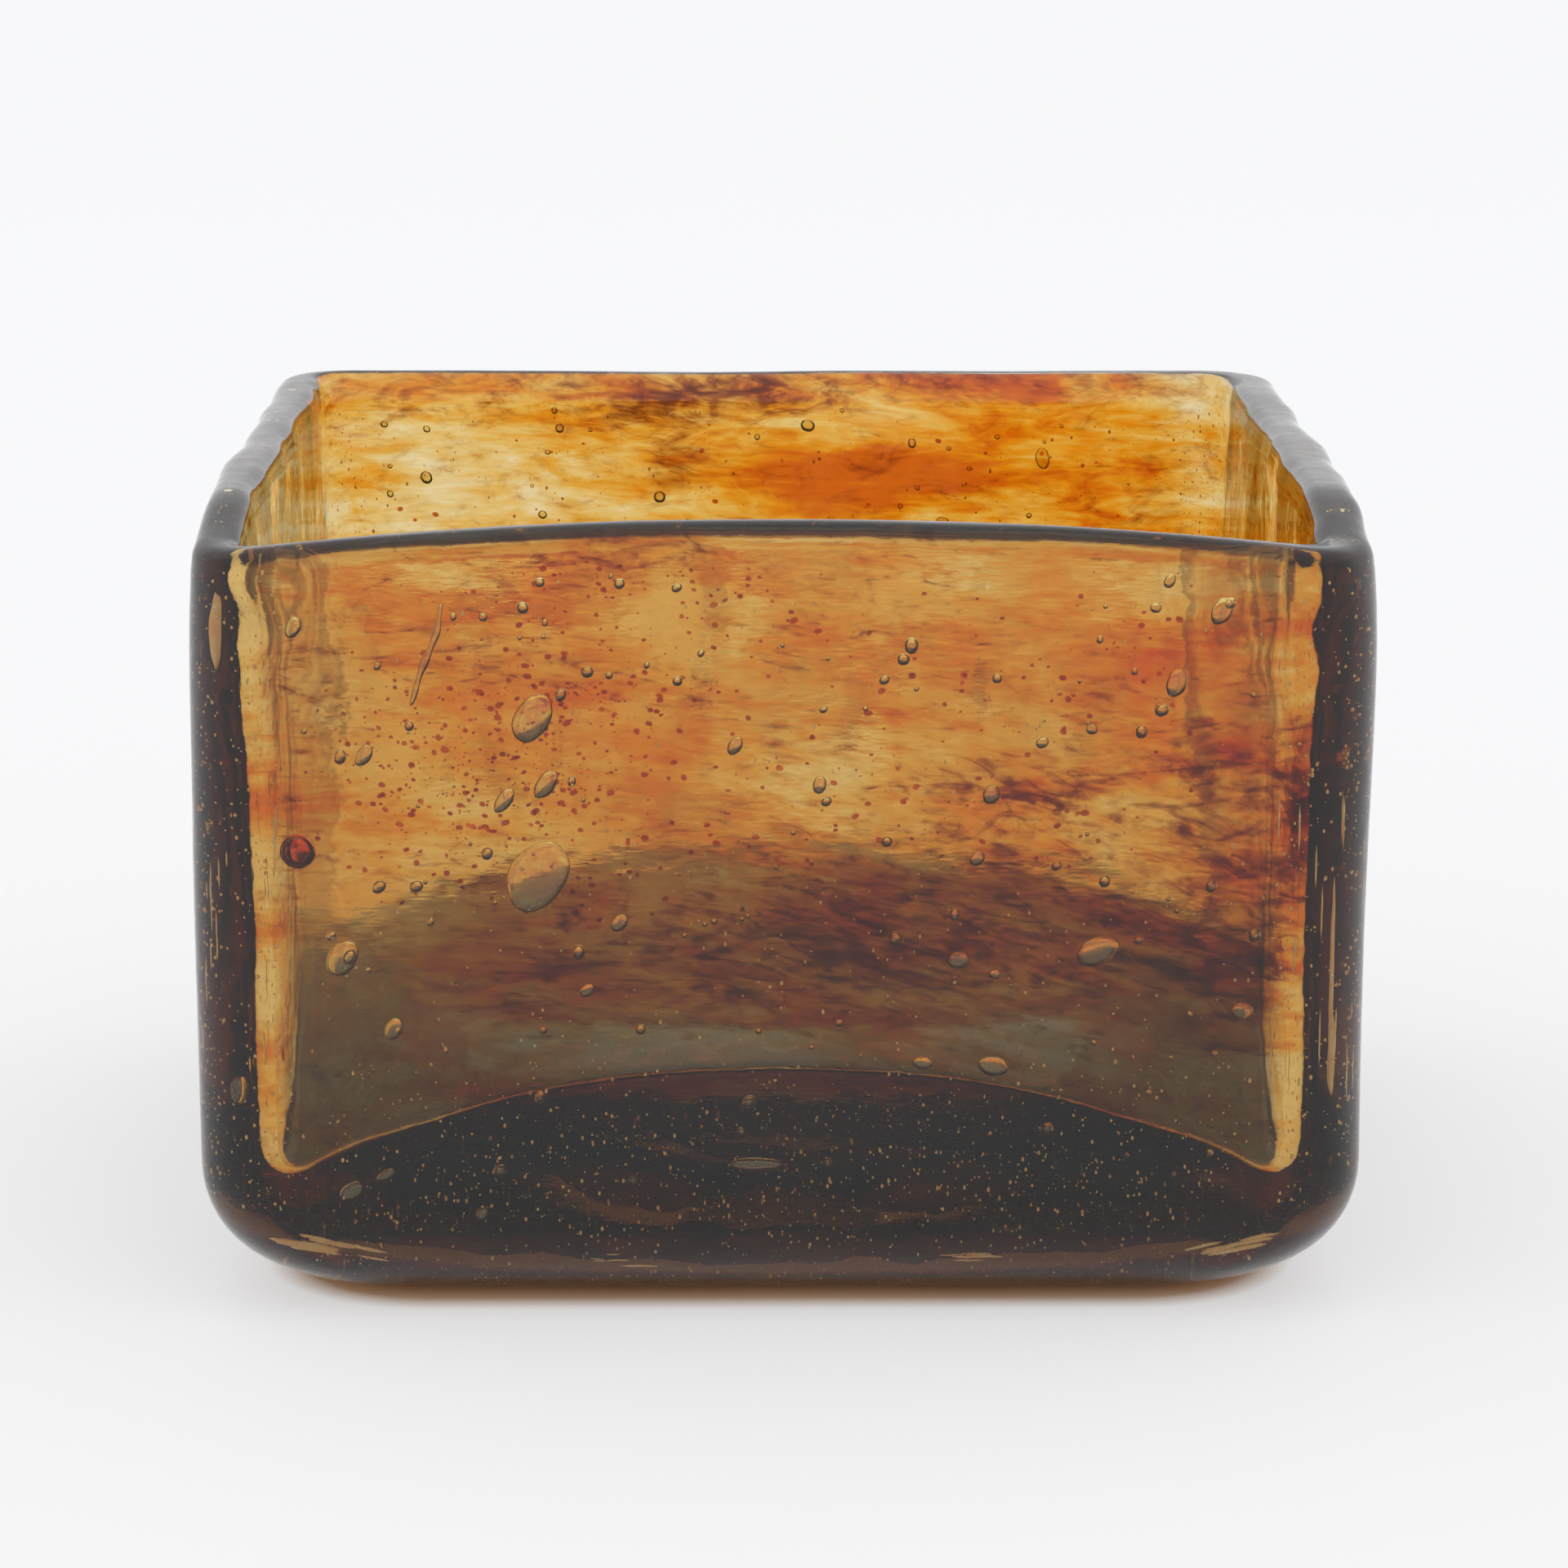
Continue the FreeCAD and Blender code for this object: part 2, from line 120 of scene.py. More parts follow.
def smooth(x, low, high):
    """0 below low, 1 above high, eased between."""
    t = np.clip((x - low) / (high - low), 0, 1)
    return t * t * (3 - 2 * t)


def rim_lift(points):
    """How far the uneven lip stands above or below the level top, fading out down the walls."""
    x, y, z = points.T
    front = smooth(-y, 40, 66) * -0.00085 * x ** 2
    uneven = 0.55 * ripple(points * (1, 1, 0), 34, 3) - 0.5
    share = smooth(z, TOP - 26, TOP - 2)
    return share * np.minimum(front + uneven * smooth(-y, 80, -60), 0)


def outward(points):
    """The level direction away from the axis, square to the nearest wall."""
    x, y = points[:, 0], points[:, 1]
    d = np.stack([np.sign(x) * np.abs(x) ** 7, np.sign(y) * np.abs(y) ** 7, 0 * x], axis=1)
    return d / np.maximum(np.linalg.norm(d, axis=1), 1e-9)[:, None]


def wavy_outside(points):
    """The outer surface of blown glass: long waves, and lobes along the lip."""
    z = points[:, 2]
    waves = 0.32 * ripple(points, 42, 1) + 0.07 * ripple(points, 13, 2, (1, 1, 0.5))
    fine = 0.06 + 0.24 * smooth(points[:, 0], 20, 60)
    upright = points * (1, 1, 0.2)
    lobes = 0.85 * ripple(upright, 17, 4) + fine * ripple(upright, 6.5, 5)
    fuller = smooth(points[:, 0], 40, 66) * RIGHT_FULLER * smooth(z, 45, 90)
    fuller += smooth(-points[:, 0], 40, 66) * LEFT_FULLER * smooth(z, 60, 90)
    move = waves * smooth(z, 3, 24) + lobes * smooth(z, TOP - 9, TOP - 2) + fuller
    distance = np.hypot(points[:, 0], points[:, 1])
    under = smooth(distance, 14, 22) * smooth(KICK_REACH - distance, 0, 12) * smooth(9 - z, 0, 1)
    lift = rim_lift(points) + under * (1.1 * ripple(points, 15, 14) + 0.35 * ripple(points, 6, 15))
    return points + outward(points) * move[:, None] + np.outer(lift, (0, 0, 1))


def wavy_inside(points):
    """The inner surface, less even than the outer one because no mould ever touched it."""
    z = points[:, 2]
    waves = 0.5 * ripple(points, 30, 6) + 0.16 * ripple(points, 11, 7, (1, 1, 0.6))
    lip = 0.4 * ripple(points * (1, 1, 0.3), 14, 8) * smooth(z, TOP - 14, TOP - 3)
    near_corner = smooth(np.minimum(np.abs(points[:, 0]), np.abs(points[:, 1])), 48, 60)
    lip = lip + 0.95 * ripple(points, 6.5, 12) * near_corner * smooth(z, TOP - 30, TOP - 8)
    distance = np.hypot(points[:, 0], points[:, 1])
    on_wall = smooth(distance, 40, 60)
    level = 0.3 * ripple(points * (1, 1, 0), 22, 9) * smooth(60 - distance, 0, 25)
    moved = points + outward(points) * ((waves + lip) * on_wall)[:, None]
    return moved + np.outer(level + rim_lift(points), (0, 0, 1))


def kick_height(reach):
    """Height of the hollow underside at this distance from the axis."""
    cap = (KICK_REACH ** 2 + KICK_RISE ** 2) / (2 * KICK_RISE)
    return KICK_RISE - cap + math.sqrt(cap ** 2 - reach ** 2)


def rows_outside():
    """The outer surface from the middle of the underside up to the lip."""
    rows = []
    for r in np.linspace(1.0, KICK_REACH, 26):
        rows.append((r, r, kick_height(r)))
    rest = HALF - FOOT_ROUND
    for s in np.linspace(0.15, 1, 7):
        half = KICK_REACH + (rest - KICK_REACH) * s
        rows.append((half, KICK_REACH + (FOOT_CORNER - KICK_REACH) * s ** 0.6, 0))
    for angle in np.radians(np.linspace(5, 90, 16)):
        share = 1 - math.sin(angle)
        corner = FOOT_CORNER - (FOOT_CORNER - CORNER) * (1 - share)
        half = rest + FOOT_ROUND * math.sin(angle)
        rows.append((half, corner, FOOT_ROUND * (1 - math.cos(angle))))
    bend = TOP / 2
    bulge = ((TOP - bend) ** 2 + LIP_INSET ** 2) / (2 * LIP_INSET)
    for z in np.linspace(FOOT_ROUND + 1.5, TOP - LIP_RADIUS - 0.8, 50):
        lean = bulge - math.sqrt(bulge ** 2 - max(z - bend, 0) ** 2)
        rows.append((HALF - lean, CORNER - lean, z))
    for angle in np.radians(np.linspace(4, 90, 10)):
        half = LIP_MIDDLE + LIP_RADIUS * math.cos(angle) ** LIP_SQUARENESS
        z = TOP - LIP_RADIUS + LIP_RADIUS * math.sin(angle) ** LIP_SQUARENESS
        rows.append((half, CORNER - (HALF - half), z))
    return [np.column_stack([ring(a, c), np.full(AROUND, float(z))]) for a, c, z in rows]


def well_half(z):
    """Half the width of the well at a height: upright below, leaning out to the lip above."""
    bend = TOP * 0.45
    lip, side = LIP_MIDDLE - LIP_RADIUS, HALF - SIDE_WALL
    bulge = ((TOP - bend) ** 2 + (lip - side) ** 2) / (2 * (lip - side))
    return side + bulge - np.sqrt(bulge ** 2 - np.maximum(z - bend, 0) ** 2)


def rows_inside(grown=0.0, wall_rows=46, floor_rows=34):
    """The well's surface from its lip down the walls and over the floor to the middle.

    Grown moves it into the glass, but only a third as far at the lip, where every layer is thin.
    """
    rows = []
    top = TOP - LIP_RADIUS
    reach = LIP_RADIUS - grown * LAYERS_AT_LIP
    for angle in np.radians(np.linspace(100, 176, 10)):
        half = LIP_MIDDLE - reach * abs(math.cos(angle)) ** LIP_SQUARENESS
        z = top + reach * math.sin(angle) ** LIP_SQUARENESS
        rows.append(np.column_stack([ring(half, CORNER - (HALF - half)), np.full(AROUND, z)]))
    foot_half, corner = float(well_half(0.0)) + grown, WELL_CORNER + grown
    foot = ring(foot_half, corner)
    foot_reach = np.linalg.norm(foot, axis=1)
    soft = 3.4 + 4.2 * smooth(np.min(np.abs(foot), axis=1), 40, 60)
    junction = dome(foot_reach, grown)
    for s in np.linspace(0, 1, wall_rows):
        z = top + (junction + soft - top) * s
        here = grown * (1 - (1 - LAYERS_AT_LIP) * smooth(np.mean(z), top - 12, top))
        rows.append(np.column_stack([ring(well_half(np.mean(z)) + here, WELL_CORNER + here), z]))
    inner_reach = foot_reach * (1 - soft / foot_half)
    start = rows[-1]
    bend = np.column_stack([foot, junction])
    stop = np.column_stack([RAY * inner_reach[:, None], dome(inner_reach, grown)])
    for t in np.linspace(0.1, 1, 11):
        rows.append((1 - t) ** 2 * start + 2 * t * (1 - t) * bend + t * t * stop)
    for s in np.linspace(0.965, 0.012, floor_rows):
        reach = s * (inner_reach * s ** 2 + (foot_half - 4) * (1 - s ** 2))
        rows.append(np.column_stack([RAY * reach[:, None], dome(reach, grown)]))
    return rows


# ---------------------------------------------------------------- meshes
def mesh_object(name, points, faces):
    """A smooth-shaded object in metres from points in millimetres."""
    mesh = bpy.data.meshes.new(name)
    mesh.from_pydata((np.asarray(points) * MM).tolist(), [], faces)
    mesh.polygons.foreach_set("use_smooth", [True] * len(mesh.polygons))
    mesh.update()
    obj = bpy.data.objects.new(name, mesh)
    bpy.context.scene.collection.objects.link(obj)
    return obj


def strip(first, second, count=AROUND):
    """Quads between two rings of points that start at these numbers."""
    return [
        (first + i, first + (i + 1) % count, second + (i + 1) % count, second + i)
        for i in range(count)
    ]


def closed_grid(name, rows):
    """A closed body from rings that begin and end at a pole on the axis."""
    points = np.vstack(rows)
    poles = np.array([rows[0].mean(axis=0), rows[-1].mean(axis=0)])
    faces = []
    for k in range(len(rows) - 1):
        faces += strip(k * AROUND, (k + 1) * AROUND)
    last = (len(rows) - 1) * AROUND
    low, high = len(points), len(points) + 1
    faces += [(low, (i + 1) % AROUND, i) for i in range(AROUND)]
    faces += [(high, last + i, last + (i + 1) % AROUND) for i in range(AROUND)]
    return mesh_object(name, np.vstack([points, poles]), faces)


def shell(name, near, far):
    """A closed layer of the wall and floor, between two distances under the well's surface."""
    inner = [wavy_inside(r) for r in rows_inside(near)]
    outer = [wavy_inside(r) for r in rows_inside(far)]
    return closed_grid(name, outer[::-1] + inner)


outside = [wavy_outside(r) for r in rows_outside()]
inside = [wavy_inside(r) for r in rows_inside()]
bowl_glass = closed_grid("smoky_glass_body", outside + inside)
lining = shell("clear_lining", 0.08, LINING - 0.05)
colour = shell("streaked_colour_shell", LINING, LINING + COLOUR_THICK)


# ---------------------------------------------------------------- materials
class Nodes:
    """A small helper for building one material's node tree."""

    def __init__(self, name):
        self.material = bpy.data.materials.new(name)
        self.material.use_nodes = True
        self.tree = self.material.node_tree
        self.tree.nodes.clear()
        self.out = self.add("ShaderNodeOutputMaterial")

    def add(self, kind, **values):
        node = self.tree.nodes.new(kind)
        for key, value in values.items():
            setattr(node, key, value)
        return node

    def link(self, source, target):
        self.tree.links.new(source, target)

    def noise(self, vector, scale, detail=4.0, roughness=0.55, distortion=0.0):
        node = self.add("ShaderNodeTexNoise")
        self.link(vector, node.inputs["Vector"])
        node.inputs["Scale"].default_value = scale
        node.inputs["Detail"].default_value = detail
        node.inputs["Roughness"].default_value = roughness
        node.inputs["Distortion"].default_value = distortion
        return node.outputs["Fac"]

    def math(self, operation, a, b=0.0, clamp=False):
        node = self.add("ShaderNodeMath", operation=operation, use_clamp=clamp)
        for socket, value in zip(node.inputs, (a, b)):
            if isinstance(value, (int, float)):
                socket.default_value = value
            else:
                self.link(value, socket)
        return node.outputs[0]

    def ramp(self, fac, stops, interpolation="LINEAR"):
        node = self.add("ShaderNodeValToRGB")
        node.color_ramp.interpolation = interpolation
        elements = node.color_ramp.elements
        while len(elements) < len(stops):
            elements.new(0.5)
        for element, (position, colour_value) in zip(elements, stops):
            element.position = position
            element.color = (*colour_value, 1)
        self.link(fac, node.inputs["Fac"])
        return node.outputs["Color"]

    def scaled(self, scale):
        """Object coordinates stretched by these factors."""
        place = self.add("ShaderNodeTexCoord").outputs["Object"]
        mapping = self.add("ShaderNodeMapping")
        mapping.inputs["Scale"].default_value = scale
        self.link(place, mapping.inputs["Vector"])
        return mapping.outputs["Vector"]

    def bump(self, height, strength, distance):
        node = self.add("ShaderNodeBump")
        node.inputs["Strength"].default_value = strength
        node.inputs["Distance"].default_value = distance
        self.link(height, node.inputs["Height"])
        return node.outputs["Normal"]


ABSORPTION_DENSITY = 60.0
SMOKE = (0.66, 0.515, 0.24)
GLASS_INDEX = 1.5
AIR_IN_GLASS, RED_IN_GLASS, SEED_INDEX = 0.667, 0.72, 1.3


def smoky_glass():
    """Clear glass with a smoky amber body, faintly rippled."""
    n = Nodes("smoky amber glass")
    glass = n.add("ShaderNodeBsdfPrincipled")
    glass.inputs["Base Color"].default_value = (1, 1, 1, 1)
    glass.inputs["Transmission Weight"].default_value = 1.0
    glass.inputs["IOR"].default_value = GLASS_INDEX
    ripples = n.noise(n.scaled((1, 1, 1.5)), 130, 2.0)
    fine = n.noise(n.scaled((1, 1, 5)), 520, 3.0)
    height = n.math("ADD", ripples, n.math("MULTIPLY", fine, 0.1))
    n.link(n.bump(height, 0.3, 0.0005), glass.inputs["Normal"])
    n.link(n.math("MULTIPLY", fine, 0.012), glass.inputs["Roughness"])
    let_through = n.add("ShaderNodeBsdfTransparent")
    let_through.inputs["Color"].default_value = (0.96, 0.96, 0.96, 1)
    ray = n.add("ShaderNodeLightPath")
    either = n.add("ShaderNodeMixShader")
    n.link(ray.outputs["Is Shadow Ray"], either.inputs[0])
    n.link(glass.outputs[0], either.inputs[1])
    n.link(let_through.outputs[0], either.inputs[2])
    body = n.add("ShaderNodeVolumeAbsorption")
    body.inputs["Color"].default_value = (*SMOKE, 1)
    body.inputs["Density"].default_value = ABSORPTION_DENSITY
    n.link(either.outputs[0], n.out.inputs["Surface"])
    n.link(body.outputs[0], n.out.inputs["Volume"])
    return n.material


def tint(name, colour_of):
    """A layer inside the glass, which colours what is seen through it and bends nothing."""
    n = Nodes(name)
    clear = n.add("ShaderNodeBsdfTransparent")
    n.link(colour_of(n), clear.inputs["Color"])
    n.link(clear.outputs[0], n.out.inputs["Surface"])
    return n.material


def attribute(n, name):
    return n.add("ShaderNodeAttribute", attribute_name=name).outputs["Fac"]


def streaked(n):
    """Streaks drawn out level round the walls: straw to orange, under clouds of brown smoke."""
    flow = n.add("ShaderNodeAttribute", attribute_name="flow").outputs["Vector"]
    cloud = n.noise(n.scaled((1, 1, 1.6)), 62, 4.0, 0.6, 1.2)
    broad = n.noise(flow, 20, 3.0, 0.5, 0.8)
    streak = n.noise(flow, 62, 5.0, 0.62, 1.4)
    thread = n.noise(flow, 230, 4.0, 0.65, 0.8)
    total = attribute(n, "depth")
    crisp = attribute(n, "crisp")
    thread = n.math("MULTIPLY", n.math("SUBTRACT", thread, 0.5), crisp)
    for part, share in ((broad, 2.0), (streak, 1.35), (cloud, 0.9)):
        total = n.math("ADD", total, n.math("MULTIPLY", n.math("SUBTRACT", part, 0.5), share))
    total = n.math("ADD", total, n.math("MULTIPLY", thread, 0.9))
    dye = n.ramp(total, [
        (0.00, (0.990, 0.925, 0.740)),
        (0.25, (0.978, 0.835, 0.510)),
        (0.48, (0.965, 0.720, 0.290)),
        (0.72, (0.945, 0.580, 0.090)),
        (1.00, (0.870, 0.385, 0.050)),
    ])
    wisp = n.noise(flow, 95, 6.0, 0.7, 2.0)
    blot = n.noise(n.scaled((1, 1, 2.0)), 120, 5.0, 0.68, 1.6)
    from_ridge = n.math("ABSOLUTE", n.math("SUBTRACT", n.noise(flow, 34, 3.0, 0.5, 0.5), 0.5))
    cord = n.math("SUBTRACT", 1.0, n.math("MULTIPLY", from_ridge, 70), clamp=True)
    cord = n.math("MULTIPLY", cord, n.math("MULTIPLY", crisp, 0.28))
    gloom = attribute(n, "smoke")
    wisp = n.math("MULTIPLY", n.math("SUBTRACT", wisp, 0.5), crisp)
    for part, share in ((blot, 1.9), (broad, 0.9)):
        gloom = n.math("ADD", gloom, n.math("MULTIPLY", n.math("SUBTRACT", part, 0.5), share))
    for part, share in ((wisp, 2.0), (thread, 0.9), (cord, 1.0)):
        gloom = n.math("ADD", gloom, n.math("MULTIPLY", part, share))
    smoke = n.ramp(gloom, [
        (0.00, (1.0, 1.0, 1.0)),
        (0.30, (0.975, 0.955, 0.93)),
        (0.55, (0.85, 0.76, 0.68)),
        (0.78, (0.64, 0.46, 0.36)),
        (1.00, (0.42, 0.24, 0.17)),
    ])
    both = n.add("ShaderNodeMix", data_type="RGBA", blend_type="MULTIPLY")
    both.inputs["Factor"].default_value = 1.0
    n.link(dye, both.inputs["A"])
    n.link(smoke, both.inputs["B"])
    return both.outputs["Result"]


def faint_threads(n):
    """A nearly colourless lining with fine threads of smoke."""
    flow = n.add("ShaderNodeAttribute", attribute_name="flow").outputs["Vector"]
    thread = n.noise(flow, 330, 5.0, 0.65, 0.3)
    return n.ramp(thread, [
        (0.0, (0.90, 0.86, 0.76)), (0.45, (0.985, 0.975, 0.94)), (1.0, (1, 0.995, 0.98)),
    ])


def air(name, index):
    """The skin of a pocket of air inside glass. Its index is air's over that of glass."""
    n = Nodes(name)
    skin = n.add("ShaderNodeBsdfGlass")
    skin.inputs["IOR"].default_value = index
    skin.inputs["Roughness"].default_value = 0.0
    wrinkle = n.noise(n.scaled((1, 1, 1)), 900, 2.0)
    olive = n.ramp(wrinkle, [(0.3, (0.93, 0.89, 0.62)), (0.7, (0.97, 0.94, 0.74))])
    n.link(olive, skin.inputs["Color"])
    n.link(n.bump(wrinkle, 0.2, 0.0001), skin.inputs["Normal"])
    n.link(skin.outputs[0], n.out.inputs["Surface"])
    return n.material


def give(obj, material, slot_name, *nodes):
    """Finishes a piece: its material, its body and the CAD nodes it stands for. The slot name is
    not used.
    """
    obj.data.materials.clear()
    obj.data.materials.append(material)
    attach(obj, "root")
    if nodes:
        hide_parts(*nodes)


# Where the colour lies thicker or thinner than usual: place along the wall, height, half width,
# half height, more dye, more smoke. The floor's rows have its X and Y in place of the first two.
FRONT_PATCHES = [
    (-20, 92, 13, 3.5, 0.3, 0.5), (-32, 80, 13, 3.0, 0.15, 0.4), (-17, 87, 7, 3, -0.3, -0.2),
    (-54, 86, 9, 12, -0.2, -0.05), (13, 75, 12, 3, -0.2, -0.2), (23, 91, 9, 3, -0.3, -0.2),
    (8, 88, 50, 7, -0.28, -0.06), (4, 72, 30, 6, 0.12, 0.0), (-34, 67, 15, 8, -0.1, -0.75),
    (30, 64, 13, 6, 0.3, 0.4), (47, 80, 8, 9, 0.2, -0.35), (51, 62, 10, 20, 0.5, 0.5),
    (57, 40, 8, 14, 0.15, 0.3), (-56, 76, 6, 8, -0.1, 0.25), (0, 56, 30, 6, 0.25, 0.15),
    (-58, 62, 4, 8, 0.2, 0.2), (-42, 50, 14, 5, 0.15, 0.15), (-52, 68, 8, 8, 0.15, -0.1),
    (36, 88, 14, 5, 0.0, -0.2), (10, 45, 40, 8, 0.25, 0.5), (-54, 42, 7, 12, -0.3, -0.3),
    (-32, 38, 14, 8, 0.5, 0.2), (-10, 31.5, 15, 2.5, -0.3, -0.35), (-63, 86, 3.5, 9, -0.35, -0.4),
    (-63, 60, 3.5, 9, 0.05, -0.3), (-63, 34, 3.5, 14, -0.15, -0.1),
    (63, 84, 3.5, 12, 0.2, -0.3), (63, 62, 3.5, 9, 0.25, 0.75), (63, 30, 3.5, 16, -0.05, -0.7),
]
BACK_PATCHES = [
    (-48, 86, 18, 10, -0.1, 0.0), (-10, 92, 14, 3.0, 0.25, 0.5), (4, 81, 16, 6, 0.7, 0.05),
    (-14, 84, 5, 3, 0.2, 0.5), (22, 86, 16, 8, 0.6, 0.05), (40, 80, 22, 12, 0.15, 0.0),
    (60, 84, 6, 16, -0.25, 0.0), (0, 95, 60, 3, 0.35, 0.35), (0, 45, 90, 20, -0.22, -0.12),
]
FLOOR_PATCHES = [
    (-13, -54, 20, 4.5, -0.5, -0.62), (-3, 5, 26, 12, 0.2, 0.35), (25, -30, 22, 6, 0.1, 0.3),
    (-36, -36, 14, 12, 0.3, 0.05), (35, 20, 14, 10, 0.1, 0.25), (-20, 30, 20, 8, 0.15, 0.2),
]
USUAL = {"front": (0.18, 0.06), "back": (0.38, 0.18), "floor": (0.36, 0.62)}


def on_the_walls(x, y):
    """0 on the floor of the well and 1 on its walls, eased between."""
    return smooth(np.maximum(np.abs(x), np.abs(y)), 56, 61)


def laid_on(points):
    """How thick the dye and the smoke lie at each point of the shell."""
    x, y, z = points.T
    walls = on_the_walls(x, y)
    rear = smooth(y, -60, 60)
    front, back, floor = (np.array(USUAL[part]) for part in ("front", "back", "floor"))
    usual = np.outer(1 - rear, front) + np.outer(rear, back)
    dye, smoke = (np.outer(1 - walls, floor) + walls[:, None] * usual).T.copy()
    from_angle = (np.maximum(np.abs(x), np.abs(y)) - 58.5) / 2.2
    in_angle = np.exp(-from_angle ** 2) * smooth(36 - z, 0, 8)
    dye += 0.35 * in_angle
    smoke += 0.15 * in_angle
    groups = (
        (FRONT_PATCHES, z, smooth(-y, 50, 61)),
        (BACK_PATCHES, z, smooth(y, 50, 61)),
        (FLOOR_PATCHES, y, 1 - walls),
    )
    for patches, across, share in groups:
        for along, height, wide, tall, more_dye, more_smoke in patches:
            bell = share * np.exp(-((x - along) / wide) ** 2 - ((across - height) / tall) ** 2)
            dye += more_dye * bell
            smoke += more_smoke * bell
    return dye, smoke


def set_flow(obj):
    """Stores, for each vertex, which way the colour was drawn out and how thick it lies."""
    points = np.empty(len(obj.data.vertices) * 3)
    obj.data.vertices.foreach_get("co", points)
    points = points.reshape(-1, 3) / MM
    x, y, z = points.T
    on_floor = np.maximum(np.abs(x), np.abs(y)) < 58
    swept = np.column_stack([x, 0 * y, (y + 0.010 * (x + 20) ** 2 + 3 * np.sin(x / 31)) * 1.3])
    sag = 2.5 * np.sin(x / 37) + 1.5 * np.sin(y / 29 + 1)
    sinking = 0.18 * np.maximum(x + 10, 0) * smooth(80 - z, 0, 40) * smooth(-y, 40, 60)
    drawn = np.column_stack([x, y, (z + sag + sinking) * 4.6])
    flow = np.where(on_floor[:, None], swept, drawn) * MM
    layer = obj.data.attributes.new("flow", "FLOAT_VECTOR", "POINT")
    layer.data.foreach_set("vector", flow.ravel())
    walls = on_the_walls(x, y)
    crisp = 1.8 + walls * (1.0 - 0.5 * smooth(y, -60, 60) - 1.8)
    for name, values in zip(("depth", "smoke", "crisp"), (*laid_on(points), crisp)):
        thick = obj.data.attributes.new(name, "FLOAT", "POINT")
        thick.data.foreach_set("value", values)


set_flow(colour)
set_flow(lining)
glass = smoky_glass()
give(bowl_glass, glass, "smoky_casing", "outer_casing")
give(lining, tint("pale lining", faint_threads), "amber_lining", "inner_gather")
give(colour, tint("streaked colour", streaked), "streaked_colour", "colour_layer")


# ---------------------------------------------------------------- bubbles, grains and bead
chance = random.Random(7)
WALL_MIDDLE = HALF - (SIDE_WALL - LINING - COLOUR_OUT) / 2
MEDIUM_BUBBLES, FINE_SEEDS = 440, 8600
GRAIN_DEPTH = 65.2


def ball(segments, rings):
    """A unit sphere as points and faces."""
    points = [(0, 0, 1)]
    for k in range(1, rings):
        a = math.pi * k / rings
        for i in range(segments):
            b = 2 * math.pi * i / segments
            points.append((math.sin(a) * math.cos(b), math.sin(a) * math.sin(b), math.cos(a)))
    points.append((0, 0, -1))
    last = len(points) - 1
    faces = [(0, 1 + i, 1 + (i + 1) % segments) for i in range(segments)]
    for k in range(rings - 2):
        a, b = 1 + k * segments, 1 + (k + 1) * segments
        faces += [
            (a + i, b + i, b + (i + 1) % segments, a + (i + 1) % segments) for i in range(segments)
        ]
    a = 1 + (rings - 2) * segments
    faces += [(last, a + (i + 1) % segments, a + i) for i in range(segments)]
    return np.array(points), faces


def on_wall(points, facing, along, depth, height):
    """Points drawn for the front wall, put in the wall that faces this angle about Z."""
    placed = points + np.array([along, -depth, height])
    a = math.radians(facing)
    turn = np.array([[math.cos(a), -math.sin(a), 0], [math.sin(a), math.cos(a), 0], [0, 0, 1]])
    return placed @ turn.T


def merged(name, lumps):
    """One object from (points, faces) pairs."""
    points, faces, start = [], [], 0
    for lump_points, lump_faces in lumps:
        points.append(lump_points)
        faces += [tuple(start + i for i in face) for face in lump_faces]
        start += len(lump_points)
    return mesh_object(name, np.vstack(points), faces)


def ellipsoid(half_long, thick, half_wide, lean, segments=36, rings=20, uneven=0.06):
    """A slightly uneven flattened ball, its long way leaning from the level."""
    points, faces = ball(segments, rings)
    shift = Vector((half_long, 3, 9))
    lumpy = np.array([noise.noise(Vector(p * 1.3) + shift) for p in points])
    points = points * (1 + uneven * lumpy)[:, None]
    points = points * (half_long, thick, half_wide)
    a = math.radians(lean)
    tilt = np.array([[math.cos(a), 0, -math.sin(a)], [0, 1, 0], [math.sin(a), 0, math.cos(a)]])
    return points @ tilt.T, faces


